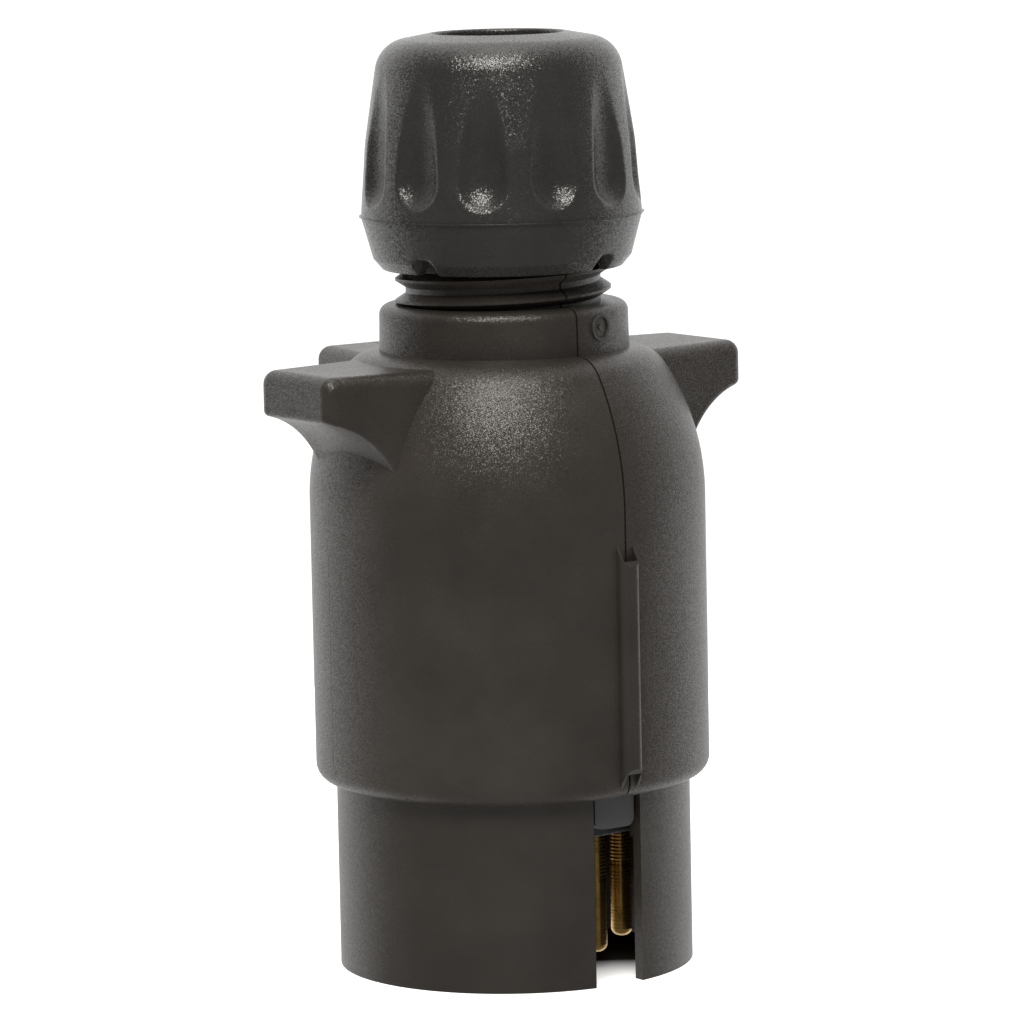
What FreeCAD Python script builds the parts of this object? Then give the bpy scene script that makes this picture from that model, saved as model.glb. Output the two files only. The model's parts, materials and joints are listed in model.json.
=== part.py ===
"""Thirteen-pin trailer wiring plug: a hinged two-half body, a locking skirt, a turning contact
carrier with brass pins, and a threaded cable gland. Millimetres, +Z towards the cable end,
origin at the bottom centre of the skirt, key slot and body seam at -Y."""
import FreeCAD, Part
import math
import os
import re
import Sketcher

SIZES = [
    # body shells
    ("body_radius", 23.0, "outside of the round body"),
    ("body_bottom", 21.9, "lower rim of the body"),
    ("body_rim_round", 2.0, "rounding of the lower rim"),
    ("body_bore", 20.55, "inside of the body around the skirt"),
    ("dome_corner_height", 62.63, "where the body side would meet the dome slope"),
    ("dome_top_reach", 17.28, "where the dome slope would meet the dome top"),
    ("dome_top", 71.95, "top of the dome"),
    ("dome_sweep", 27.8, "large radius from the body side into the dome"),
    ("dome_shoulder", 4.7, "radius of the dome shoulder"),
    ("collar_radius", 14.4, "plain collar above the dome"),
    ("collar_top", 77.3, "top of the collar"),
    ("collar_round", 1.2, "rounding of the collar top"),
    ("neck_root", 11.3, "root radius of the neck thread"),
    ("neck_top", 92.0, "top of the threaded neck"),
    ("chamber_radius", 20.3, "wiring chamber inside the body"),
    ("chamber_top", 55.0, "height where the chamber starts to close in"),
    ("neck_bore", 7.9, "cable way through the neck"),
    ("seal_seat_radius", 9.6, "pocket for the rubber seal in the neck"),
    ("seal_seat_height", 84.0, "floor of that pocket"),
    ("ledge_radius", 19.2, "ledge that holds the retaining ring down"),
    ("ledge_bottom", 41.7, "underside of that ledge"),
    ("ledge_height", 1.2, "straight height of that ledge"),
    ("ledge_slope_top", 44.0, "where the slope above the ledge ends"),
    ("dome_cavity_radius", 18.5, "inside of the dome, first corner"),
    ("dome_cavity_height", 63.5, "height of that corner"),
    ("shoulder_cavity_radius", 14.8, "inside of the dome, second corner"),
    ("shoulder_cavity_height", 69.0, "height of that corner"),
    ("neck_bore_start", 70.4, "where the cable way through the neck starts"),
    ("seam_width", 0.24, "open line between the two halves"),
    ("seam_depth", 0.7, "how deep the open line goes"),
    ("core_side_radius", 22.3, "solid under the open line: round body"),
    ("core_dome_radius", 20.65, "solid under the open line: dome, first corner"),
    ("core_dome_height", 64.0, "height of that corner"),
    ("core_shoulder_radius", 18.15, "solid under the open line: dome, second corner"),
    ("core_shoulder_height", 69.0, "height of that corner"),
    ("core_crown_radius", 15.0, "solid under the open line: top of the dome"),
    ("core_crown_height", 70.95, "height of that corner"),
    ("core_neck_radius", 10.8, "solid under the open line: neck"),
    ("snap_height", 3.0, "height of a snap tab"),
    ("snap_root", 6.0, "how far a tab's arm lies in its own half"),
    ("snap_reach", 3.2, "how far the arm reaches into the other half"),
    ("snap_inside", 19.0, "inner face of the arm"),
    ("snap_outside", 19.9, "outer face of the arm"),
    ("snap_barb_start", 1.6, "where the barb begins, from the seam"),
    ("snap_barb_length", 1.1, "length of the barb"),
    ("snap_barb_outside", 20.3, "outer face of the barb"),
    ("snap_recess_inside", 18.45, "inner end of the pocket for the barb"),
    ("snap_play", 0.15, "play round a snap tab's barb"),
    ("mark_turn", 14.4, "angle of the mould mark from the seam, in degrees"),
    ("mark_height", 75.0, "height of the mould mark's centre"),
    ("mark_radius", 1.55, "outside of the mark's ring"),
    ("mark_bore", 1.2, "inside of the mark's ring"),
    ("mark_dot", 0.35, "dot in the middle of the mark"),
    ("mark_sunk", 0.6, "how deep the mark is rooted in the collar"),
    ("mark_proud", 0.2, "how far the mark stands out"),
    # wings
    ("wing_reach", 29.42, "outer end of a wing from the axis"),
    ("wing_end_half", 6.97, "half width at the outer end"),
    ("wing_root_start", 12.5, "inner end of a wing, inside the dome"),
    ("wing_root_half", 9.55, "half width there"),
    ("wing_floor", 58.8, "lowest level of a wing before its underside is cut"),
    ("wing_top", 71.1, "flat top of a wing"),
    ("wing_scoop_reach", 31.3, "centre of the round scoop under a wing"),
    ("wing_scoop_height", 54.6, "height of that centre"),
    ("wing_scoop_radius", 11.5, "radius of the scoop"),
    ("wing_round", 1.6, "rounding of a wing's outer corners and upper edges"),
    ("wing_lip_round", 0.7, "rounding of the edge round a wing's scoop"),
    ("back_wing_drop", 0.6, "how much lower the back wing stands than the side wings"),
    # thread
    ("thread_pitch", 2.5, "pitch of the gland thread"),
    ("thread_crest", 12.5, "crest radius of the neck thread"),
    ("thread_start", 76.645, "height of the first crest on the +X side"),
    ("thread_turns", 5.6, "turns of thread on the neck"),
    ("thread_root_width", 2.25, "ridge width at its root"),
    ("thread_crest_width", 0.3, "ridge width at its crest"),
    ("thread_bury", 0.3, "how deep a ridge is rooted in its wall"),
    ("nut_thread_turns", 3.2, "turns of thread in the nut"),
    ("nut_thread_crest", 11.8, "inner radius of the nut's ridge"),
    ("nut_thread_root_width", 2.0, "nut ridge width at its root"),
    ("nut_thread_crest_width", 0.65, "nut ridge width at its crest"),
    # skirt
    ("skirt_radius", 20.65, "outside of the locking skirt"),
    ("skirt_inside", 18.6, "inside of the skirt"),
    ("skirt_plain_top", 21.8, "top of the skirt's full radius, just below the body's rim"),
    ("skirt_neck_radius", 19.9, "outside of the skirt inside the body"),
    ("skirt_top", 37.7, "upper edge, inside the body"),
    ("skirt_rib_radius", 21.6, "locating rib held in the body's groove"),
    ("skirt_rib_bottom", 31.0, "lower face of the rib"),
    ("skirt_rib_height", 2.0, "height of the rib"),
    ("rib_play", 0.05, "play of the rib in its groove"),
    ("slot_half", 3.3, "half width of the key slot"),
    ("slot_top", 24.5, "top of the narrow part of the slot"),
    ("relief_half", 5.0, "half width of the thinned wall beside the slot"),
    ("relief_top", 16.5, "top of that thinning"),
    ("relief_reach", 18.95, "distance of the thinned wall's inner face from the axis"),
    ("window_half", 4.7, "half width of the tongue's window"),
    ("window_top", 36.0, "top of the window"),
    ("seal_ledge_radius", 17.15, "inner edge of the face seal's ledge"),
    ("seal_ledge_bottom", 21.1, "underside of the face seal's ledge"),
    ("seal_ledge_height", 1.4, "thickness of that ledge"),
    ("bayonet_depth", 0.9, "depth of a bayonet groove"),
    ("bayonet_low", 8.0, "lower flank of the bayonet run"),
    ("bayonet_high", 11.0, "upper flank of the bayonet run"),
    ("bayonet_width", 4.0, "width of the entry groove"),
    ("bayonet_angle", 50, "length of the run, in degrees"),
    # lock tongue
    ("tongue_half", 2.75, "half width of the tongue"),
    ("tongue_bottom", 18.2, "lower end of the tongue"),
    ("tongue_head_half", 4.4, "half width of the tongue's head"),
    ("tongue_head_top", 29.0, "top of the head"),
    ("tongue_inside", 18.75, "inner face of the tongue"),
    ("tongue_outside", 20.1, "outer face of the tongue"),
    ("tongue_corner", 1.0, "rounding of the tongue's lower corners"),
    ("spring_wire", 0.32, "wire thickness of the tongue spring"),
    ("spring_reach", 19.4, "distance of the spring from the axis"),
    ("spring_coil", 0.66, "coil radius at the wire's centre"),
    ("spring_turns", 8.0, "turns of the spring"),
    # contact carrier
    ("carrier_radius", 17.0, "turning contact carrier"),
    ("carrier_face", 16.7, "lower face of the carrier"),
    ("carrier_flange", 19.4, "flange that rides on top of the skirt"),
    ("carrier_flange_bottom", 37.8, "underside of the flange"),
    ("carrier_top", 39.8, "top of the carrier"),
    ("carrier_edge_round", 0.4, "rounding of the carrier's lower edge"),
    ("ring_inside", 17.3, "inside of the retaining ring"),
    ("ring_bottom", 39.9, "underside of the retaining ring"),
    ("ring_height", 1.6, "height of the retaining ring"),
    ("plate_radius", 16.6, "pin retainer plate"),
    ("plate_gap", 0.02, "gap between the carrier and the plate"),
    ("plate_height", 2.4, "thickness of the plate"),
    # contact pins
    ("pin_radius", 1.25, "contact pins"),
    ("pin_tip", 2.15, "height of the pin tips above the skirt's edge"),
    ("pin_ring_groove", 0.14, "depth of the groove half way up a pin"),
    ("pin_groove_height", 10.7, "height of that groove"),
    ("pin_groove_half", 0.15, "half width of that groove"),
    ("pin_collar_radius", 1.75, "collar clamped by the retainer plate"),
    ("pin_collar_height", 1.1, "height of the collar"),
    ("terminal_radius", 1.9, "screw terminal at the top of a pin"),
    ("terminal_height", 7.0, "height of a terminal"),
    ("terminal_gap", 0.2, "gap between the plate and the lowest terminals"),
    ("wire_hole", 1.15, "radius of the wire hole in a terminal"),
    ("wire_hole_floor", 1.2, "floor of the wire hole above the terminal's foot"),
    ("outer_ring", 12.4, "radius of the outer ring of eight pins"),
    ("inner_ring", 5.9, "radius of the inner ring of four pins"),
    ("ring_turn", 13.2, "angle of the first pin from the slot, in degrees"),
    ("terminal_step", 7.6, "how much higher each inner group of terminals stands"),
    ("screw_radius", 0.8, "radius of a terminal screw's hole"),
    ("screw_play", 0.01, "play of a terminal screw in its hole"),
    ("screw_share", 0.55, "height of a terminal screw as a share of the terminal's"),
    ("screw_proud", 0.35, "how far a terminal screw stands out"),
    ("screw_inside", 0.85, "inner end of a terminal screw, from the pin's axis"),
    ("screw_slot_width", 0.3, "slot of a terminal screw"),
    ("screw_slot_depth", 0.4, "depth of that slot"),
    ("pin_play", 0.01, "play of a pin in its hole"),
    ("plate_screw_ring", 9.25, "circle of the retainer screws"),
    ("plate_screw_head", 1.3, "head radius of a retainer screw"),
    ("plate_screw_shank", 0.8, "shank radius of a retainer screw"),
    ("plate_screw_play", 0.1, "play of a retainer screw in the plate"),
    ("plate_screw_depth", 4.6, "how deep a retainer screw goes into the carrier"),
    ("plate_screw_hole", 5.0, "depth of its hole in the carrier"),
    ("plate_screw_height", 1.1, "height of a retainer screw's head"),
    ("plate_screw_slot_width", 0.4, "slot of a retainer screw"),
    ("plate_screw_slot_depth", 0.5, "depth of that slot"),
    # gland
    ("nut_bottom", 81.4, "lower rim of the gland nut"),
    ("nut_foot_radius", 13.9, "outer edge of the lower rim"),
    ("nut_heel_radius", 14.95, "lower corner of the nut's cone"),
    ("nut_heel_height", 82.65, "height of that corner"),
    ("nut_wide_radius", 16.3, "widest line of the nut"),
    ("nut_wide_height", 87.5, "height of the widest line"),
    ("nut_waist_radius", 15.62, "middle of the gripping side"),
    ("nut_waist_height", 95.9, "height of that point"),
    ("nut_crown_radius", 13.8, "where the side would meet the crown"),
    ("nut_crown_height", 107.35, "height of that corner"),
    ("nut_crown_round", 4.0, "rounding of the crown"),
    ("nut_lip_round", 0.4, "rounding of the cable hole's edge"),
    ("nut_top", 108.5, "highest point of the nut"),
    ("nut_hole", 7.55, "cable hole"),
    ("nut_bore", 12.85, "bore around the thread"),
    ("nut_bore_top", 96.2, "end of the wide bore"),
    ("nut_bore_cone", 1.5, "height of the cone that closes the wide bore"),
    ("nut_throat", 10.4, "narrow bore around seal and slip ring"),
    ("nut_throat_top", 104.2, "inner shoulder over the slip ring"),
    ("flute_floor", 14.5, "distance of a flute's floor from the axis"),
    ("flute_radius", 4.2, "radius of a flute"),
    ("flute_low", 92.3, "height where a flute's round end begins"),
    ("flute_count", 12, "flutes round the nut"),
    ("notch_count", 4, "notches in the nut's rim"),
    ("notch_top_half", 0.65, "half width of a rim notch at its top"),
    ("notch_foot_half", 1.5, "half width at the rim"),
    ("notch_top", 83.0, "top of a notch"),
    ("nut_turn", 17.3, "angle from the slot to the first flute, in degrees"),
    ("slip_inside", 8.2, "inside of the slip ring"),
    ("slip_outside", 9.9, "outside of the slip ring"),
    ("slip_height", 2.6, "height of the slip ring"),
    ("slip_play", 0.05, "play between the slip ring and the nut's shoulder"),
    ("seal_outside", 9.5, "outside of the gland seal"),
    ("seal_inside", 6.2, "inside of the gland seal"),
    ("seal_top", 98.0, "top of the gland seal"),
    ("seal_round", 0.5, "rounding of the gland seal's edges"),
    # film hinge
    ("hinge_half", 1.3, "half width of the folded film"),
    ("hinge_reach", 24.3, "outside of the folded film"),
    ("hinge_root", 22.4, "inner end of the film, inside the body's side"),
    ("hinge_nose_round", 0.975, "rounding of the fold's outer corners"),
    ("hinge_film", 0.36, "thickness of the film"),
    ("hinge_low", 22.4, "lower end where it leaves the body"),
    ("hinge_high", 51.9, "upper end where it leaves the body"),
    ("hinge_cut_reach", 25.2, "outer end of the slanted cuts"),
    ("hinge_slant", 4.6, "how far a slanted cut climbs over its length"),
    # face seal
    ("face_seal_outside", 18.55, "outside of the face seal"),
    ("face_seal_bottom", 19.2, "underside of the face seal"),
]

WING_DIRECTIONS = (0, 90, 180)
BAYONET_DIRECTIONS = (-65, 55, 175)
SNAP_HEIGHTS = (46.0, 51.0)
# turned faces join up with themselves along a line; this keeps it clear of the body's seam
JOIN_LINE_TURN = 40
Z_AXIS = FreeCAD.Vector(0, 0, 1)


def make_sheet(doc):
    """Fill the spreadsheet with the driving dimensions, one named cell each."""
    sheet = doc.addObject("Spreadsheet::Sheet", "Sizes")
    for row, (name, value, note) in enumerate(SIZES, start=1):
        sheet.set(f"A{row}", name)
        sheet.set(f"B{row}", str(value))
        sheet.set(f"C{row}", note)
        sheet.setAlias(f"B{row}", name)
    doc.recompute()
    return sheet


def size(name):
    """Read one driving dimension from the sheet."""
    return float(FreeCAD.ActiveDocument.Sizes.get(name))


def bind(thing, prop, expression):
    """Tie a property to the sheet; plain names in the expression are cells."""
    names = {row[0] for row in SIZES}
    text = re.sub(r"[a-z_]+", lambda word: "Sizes." + word.group()
                  if word.group() in names else word.group(), expression)
    thing.setExpression(prop, text)


def polar(radius, degrees):
    """A point at an angle counted from -Y towards +X."""
    angle = math.radians(degrees)
    return radius * math.sin(angle), -radius * math.cos(angle)


def turned(degrees, x=0.0, y=0.0, z=0.0):
    """A placement turned about Z and moved."""
    return FreeCAD.Placement(FreeCAD.Vector(x, y, z), FreeCAD.Rotation(Z_AXIS, degrees))


# ---------------------------------------------------------------- sketches and features

def new_body(doc, name):
    body = doc.addObject("PartDesign::Body", name)
    body.Label = name
    return body


def new_sketch(body, name, plane):
    """A sketch on one of the body's own origin planes."""
    sketch = body.newObject("Sketcher::SketchObject", name)
    for feature in body.Origin.OriginFeatures:
        if feature.Role == plane:
            sketch.AttachmentSupport = [(feature, "")]
    sketch.MapMode = "FlatFace"
    return sketch


def outline(body, name, plane, corners):
    """A closed outline whose corners are pairs of cell expressions."""
    sketch = new_sketch(body, name, plane)
    count = len(corners)
    spots = []
    for index in range(count):
        angle = 2 * math.pi * index / count
        spots.append(FreeCAD.Vector(30 + 20 * math.cos(angle), 50 + 20 * math.sin(angle), 0))
    for index in range(count):
        sketch.addGeometry(Part.LineSegment(spots[index], spots[(index + 1) % count]), False)
    for index in range(count):
        sketch.addConstraint(Sketcher.Constraint("Coincident", index, 2, (index + 1) % count, 1))
    for index, (across, up) in enumerate(corners):
        for kind, text, axis in (("DistanceX", across, -2), ("DistanceY", up, -1)):
            if text == "0":
                sketch.addConstraint(Sketcher.Constraint("PointOnObject", index, 1, axis))
                continue
            number = sketch.addConstraint(Sketcher.Constraint(kind, index, 1, 10.0))
            bind(sketch, f"Constraints[{number}]", text)
    return sketch


def disc(body, name, plane, across, up, radius):
    """A circle whose centre and radius are cell expressions."""
    sketch = new_sketch(body, name, plane)
    sketch.addGeometry(Part.Circle(FreeCAD.Vector(10, 10, 0), Z_AXIS, 5), False)
    for kind, text, axis in (("DistanceX", across, -2), ("DistanceY", up, -1)):
        if text == "0":
            sketch.addConstraint(Sketcher.Constraint("PointOnObject", 0, 3, axis))
            continue
        number = sketch.addConstraint(Sketcher.Constraint(kind, 0, 3, 10.0))
        bind(sketch, f"Constraints[{number}]", text)
    number = sketch.addConstraint(Sketcher.Constraint("Radius", 0, 5.0))
    bind(sketch, f"Constraints[{number}]", radius)
    return sketch


def revolve(body, sketch, kind="Revolution", angle=360.0):
    """Turn an outline about the body's Z axis, adding or (as a Groove) removing."""
    feature = body.newObject("PartDesign::" + kind, sketch.Name + "_turned")
    feature.Profile = sketch
    feature.ReferenceAxis = (sketch, ["V_Axis"])
    feature.Angle = angle
    return feature


def extrude(body, sketch, kind, length, both_ways=False, reverse=False):
    """Pad or Pocket an outline by a cell expression."""
    feature = body.newObject("PartDesign::" + kind, sketch.Name + "_drawn")
    feature.Profile = sketch
    feature.Midplane = both_ways
    feature.Reversed = reverse
    bind(feature, "Length", length)
    return feature


def edge_names(shape, wanted):
    """Names of the edges for which wanted(edge) is true."""
    return [f"Edge{number}" for number, edge in enumerate(shape.Edges, start=1) if wanted(edge)]


def ring_at(radius, height, slack=0.05):
    """A test for round edges about Z at one radius and height."""
    def wanted(edge):
        if not isinstance(edge.Curve, Part.Circle):
            return False
        centre = edge.Curve.Center
        on_axis = math.hypot(centre.x, centre.y) < slack
        return on_axis and abs(edge.Curve.Radius - radius) < slack and abs(centre.z - height) < slack
    return wanted


def round_edges(body, base, wanted, radius):
    """Fillet the edges that a test picks out."""
    FreeCAD.ActiveDocument.recompute()
    feature = body.newObject("PartDesign::Fillet", base.Name + "_round")
    feature.Base = (base, edge_names(base.Shape, wanted))
    bind(feature, "Radius", radius)
    return feature


def repeat_round(body, originals, count, angle=360.0):
    """Repeat features about the body's Z axis."""
    pattern = body.newObject("PartDesign::PolarPattern", originals[0].Name + "_repeated")
    pattern.Originals = originals
    for feature in body.Origin.OriginFeatures:
        if feature.Role == "Z_Axis":
            pattern.Axis = (feature, [""])
    pattern.Angle = angle
    bind(pattern, "Occurrences", count)
    body.Tip = pattern
    return pattern


def combine(doc, kind, label, base, tool):
    """A two-part boolean."""
    result = doc.addObject("Part::" + kind, label)
    result.Label = label
    result.Base = base
    result.Tool = tool
    result.Refine = False
    return result


def merge(doc, label, shapes):
    """A union of several parts."""
    result = doc.addObject("Part::MultiFuse", label)
    result.Shapes = shapes
    result.Refine = False
    return result


def box(doc, name, corner, lengths):
    """A box whose corner and lengths are cell expressions."""
    block = doc.addObject("Part::Box", name)
    for prop, text in zip(("Length", "Width", "Height"), lengths):
        bind(block, prop, text)
    for axis, text in zip("xyz", corner):
        if text != "0":
            bind(block, "Placement.Base." + axis, text)
    return block


# ---------------------------------------------------------------- thread

def thread_ridge(doc, name, base_radius, crest_radius, widths, start, turns):
    """One helical ridge; it points outwards or inwards, from base to crest."""
    pitch = size("thread_pitch")
    helix = Part.makeHelix(pitch, turns * pitch, base_radius)
    helix.translate(FreeCAD.Vector(0, 0, start))
    bury = math.copysign(size("thread_bury"), base_radius - crest_radius)
    root, crest = widths
    corners = [(base_radius + bury, -root / 2), (crest_radius, -crest / 2),
               (crest_radius, crest / 2), (base_radius + bury, root / 2)]
    points = [FreeCAD.Vector(across, 0, start + up) for across, up in corners]
    section = Part.makePolygon(points + points[:1])
    ridge = doc.addObject("Part::Feature", name)
    ridge.Shape = Part.Wire(helix).makePipeShell([section], True, True)
    return ridge


def neck_thread(doc):
    widths = (size("thread_root_width"), size("thread_crest_width"))
    return thread_ridge(doc, "neck_thread", size("neck_root"), size("thread_crest"), widths,
                        size("thread_start"), size("thread_turns"))


def nut_thread(doc):
    """The nut's ridge runs half a pitch away from the neck's, so the two mesh with play."""
    pitch = size("thread_pitch")
    start = size("thread_start") + 2.5 * pitch
    widths = (size("nut_thread_root_width"), size("nut_thread_crest_width"))
    return thread_ridge(doc, "nut_thread", size("nut_bore"), size("nut_thread_crest"), widths,
                        start, size("nut_thread_turns"))


# ---------------------------------------------------------------- body shells

def body_outside(doc):
    """Round body, dome, collar and plain neck as one turned solid."""
    body = new_body(doc, "body_outside")
    corners = [("0", "body_bottom"), ("body_radius", "body_bottom"),
               ("body_radius", "dome_corner_height"), ("dome_top_reach", "dome_top"),
               ("collar_radius + 0.1", "dome_top"), ("collar_radius", "collar_top"),
               ("neck_root", "collar_top"), ("neck_root", "neck_top"), ("0", "neck_top")]
    turned_solid = revolve(body, outline(body, "body_profile", "XZ_Plane", corners))
    rim = round_edges(body, turned_solid, ring_at(size("body_radius"), size("body_bottom")),
                      "body_rim_round")
    sweep = round_edges(body, rim, ring_at(size("body_radius"), size("dome_corner_height")),
                        "dome_sweep")
    shoulder = round_edges(body, sweep, ring_at(size("dome_top_reach"), size("dome_top")),
                           "dome_shoulder")
    round_edges(body, shoulder, ring_at(size("collar_radius"), size("collar_top")), "collar_round")
    body.Placement = turned(JOIN_LINE_TURN)
    return body


def body_cavity(doc):
    """Everything hollow inside the body: skirt bore, wiring chamber and cable way."""
    body = new_body(doc, "body_cavity")
    corners = [("0", "body_bottom - 5"), ("body_bore", "body_bottom - 5"),
               ("body_bore", "skirt_rib_bottom - rib_play"),
               ("skirt_rib_radius + rib_play", "skirt_rib_bottom - rib_play"),
               ("skirt_rib_radius + rib_play", "skirt_rib_bottom + skirt_rib_height + rib_play"),
               ("body_bore", "skirt_rib_bottom + skirt_rib_height + rib_play"),
               ("body_bore", "ledge_bottom"), ("ledge_radius", "ledge_bottom"),
               ("ledge_radius", "ledge_bottom + ledge_height"),
               ("chamber_radius", "ledge_slope_top"), ("chamber_radius", "chamber_top"),
               ("dome_cavity_radius", "dome_cavity_height"),
               ("shoulder_cavity_radius", "shoulder_cavity_height"),
               ("neck_bore", "neck_bore_start"),
               ("neck_bore", "seal_seat_height"), ("seal_seat_radius", "seal_seat_height"),
               ("seal_seat_radius", "neck_top + 1"), ("0", "neck_top + 1")]
    revolve(body, outline(body, "cavity_profile", "XZ_Plane", corners))
    body.Placement = turned(JOIN_LINE_TURN)
    return body


def seam_core(doc):
    """What lies under the open line of the seam: the body's outside, set in a little."""
    body = new_body(doc, "seam_core")
    corners = [("0", "body_bottom - 1"), ("core_side_radius", "body_bottom - 1"),
               ("core_side_radius", "chamber_top"), ("core_dome_radius", "core_dome_height"),
               ("core_shoulder_radius", "core_shoulder_height"),
               ("core_crown_radius", "core_crown_height"),
               ("collar_radius - seam_depth", "core_crown_height"),
               ("collar_radius - seam_depth", "collar_top - seam_depth"),
               ("core_neck_radius", "collar_top - seam_depth"), ("core_neck_radius", "neck_top"),
               ("0", "neck_top")]
    revolve(body, outline(body, "seam_core_profile", "XZ_Plane", corners))
    body.Placement = turned(JOIN_LINE_TURN)
    return body


def wing(doc, number, degrees):
    """One turning wing: tapered in plan, flat on top, scooped out below."""
    body = new_body(doc, f"wing_{number}")
    plan = outline(body, f"wing_plan_{number}", "XY_Plane",
                   [("wing_root_start", "-wing_root_half"), ("wing_reach", "-wing_end_half"),
                    ("wing_reach", "wing_end_half"), ("wing_root_start", "wing_root_half")])
    bind(plan, "AttachmentOffset.Base.z", "wing_floor")
    blank = extrude(body, plan, "Pad", "wing_top - wing_floor")
    reach, top, root = size("wing_reach"), size("wing_top"), size("wing_root_start")

    def outer_corner(edge):
        start, end = (vertex.Point for vertex in edge.Vertexes)
        return abs(start.x - reach) < 0.01 and abs(start.z - end.z) > 1

    def upper_edge(edge):
        points = [vertex.Point for vertex in edge.Vertexes]
        at_root = all(abs(point.x - root) < 0.01 for point in points)
        return all(abs(point.z - top) < 0.01 for point in points) and not at_root

    def scoop_edge(edge):
        middle = edge.CenterOfMass
        points = [vertex.Point for vertex in edge.Vertexes]
        low_end = all(abs(point.x - reach) < 0.01 for point in points) and middle.z < top - 1
        return low_end and abs(points[0].z - points[1].z) < 0.01

    corners = round_edges(body, blank, outer_corner, "wing_round")
    scoop = extrude(body, disc(body, f"wing_scoop_{number}", "XZ_Plane", "wing_scoop_reach",
                               "wing_scoop_height", "wing_scoop_radius"),
                    "Pocket", "4 * wing_root_half", both_ways=True)
    doc.recompute()
    if scoop.Shape.Volume > 0.9 * corners.Shape.Volume:
        raise RuntimeError("the scoop under the wing cut nothing")
    upper = round_edges(body, scoop, upper_edge, "wing_round")
    round_edges(body, upper, scoop_edge, "wing_lip_round")
    body.Placement = turned(degrees, z=-size("back_wing_drop") if degrees == 90 else 0.0)
    return body


def mould_mark(doc):
    """A plain raised ring with a dot, on the collar beside the seam."""
    mark = doc.addObject("Part::Feature", "mould_mark")
    x, y = polar(1.0, size("mark_turn"))
    outwards = FreeCAD.Vector(x, y, 0)
    foot = outwards * (size("collar_radius") - size("mark_sunk")) + Z_AXIS * size("mark_height")
    depth = size("mark_sunk") + size("mark_proud")
    ring = Part.makeCylinder(size("mark_radius"), depth, foot, outwards)
    hole = Part.makeCylinder(size("mark_bore"), depth, foot, outwards)
    dot = Part.makeCylinder(size("mark_dot"), depth, foot, outwards)
    mark.Shape = ring.cut(hole).fuse(dot)
    return mark


def block(start, end):
    """A plain box between two corners."""
    lengths = end - start
    return Part.makeBox(lengths.x, lengths.y, lengths.z, start)


def snap_tab(doc, number, low):
    """A catch tab on the left half that reaches into the right half at the closing side."""
    top = low + size("snap_height")
    barb_start = size("snap_barb_start")
    arm = block(FreeCAD.Vector(-size("snap_root"), size("snap_inside"), low),
                FreeCAD.Vector(size("snap_reach"), size("snap_outside"), top))
    barb = block(FreeCAD.Vector(barb_start, size("snap_inside"), low),
                 FreeCAD.Vector(barb_start + size("snap_barb_length"), size("snap_barb_outside"), top))
    tab = doc.addObject("Part::Feature", f"snap_tab_{number}")
    tab.Shape = arm.fuse(barb)
    return tab


def snap_recess(doc, number, low):
    """The pocket in the right half that a tab's barb clicks into."""
    play = size("snap_play")
    start = size("snap_barb_start") - play
    end = size("snap_barb_start") + size("snap_barb_length") + play
    recess = doc.addObject("Part::Feature", f"snap_recess_{number}")
    recess.Shape = block(FreeCAD.Vector(start, size("snap_recess_inside"), low - play),
                         FreeCAD.Vector(end, size("snap_barb_outside") + play,
                                        low + size("snap_height") + play))
    return recess


def body_shells(doc):
    """The finished left (-X) and right (+X) halves."""
    wings = [wing(doc, number, degrees) for number, degrees in enumerate(WING_DIRECTIONS, start=1)]
    joined = merge(doc, "body_joined", [body_outside(doc), neck_thread(doc), mould_mark(doc)] + wings)
    hollow = combine(doc, "Cut", "body_hollow", joined, body_cavity(doc))
    reach = "2 * wing_reach"
    slit = box(doc, "seam_slit", ("-seam_width / 2", "-" + reach, "body_bottom - 1"),
               ("seam_width", "4 * wing_reach", "neck_top"))
    groove = combine(doc, "Cut", "seam_groove", slit, seam_core(doc))
    lengths = (reach, "4 * wing_reach", "2 * neck_top")
    left_side = box(doc, "left_side", ("-" + reach, "-" + reach, "-1"), lengths)
    right_side = box(doc, "right_side", ("0", "-" + reach, "-1"), lengths)
    left_plain = combine(doc, "Common", "left_plain", hollow, left_side)
    right_plain = combine(doc, "Common", "right_plain", hollow, right_side)
    left_half = combine(doc, "Cut", "left_half", left_plain, groove)
    right_half = combine(doc, "Cut", "right_half", right_plain, groove)
    tabs = merge(doc, "snap_tabs", [snap_tab(doc, number, low)
                                    for number, low in enumerate(SNAP_HEIGHTS, start=1)])
    recesses = merge(doc, "snap_recesses", [snap_recess(doc, number, low)
                                            for number, low in enumerate(SNAP_HEIGHTS, start=1)])
    left = combine(doc, "Fuse", "shell_left", left_half, tabs)
    right = combine(doc, "Cut", "shell_right", right_half, recesses)
    return [left, right]


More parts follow.
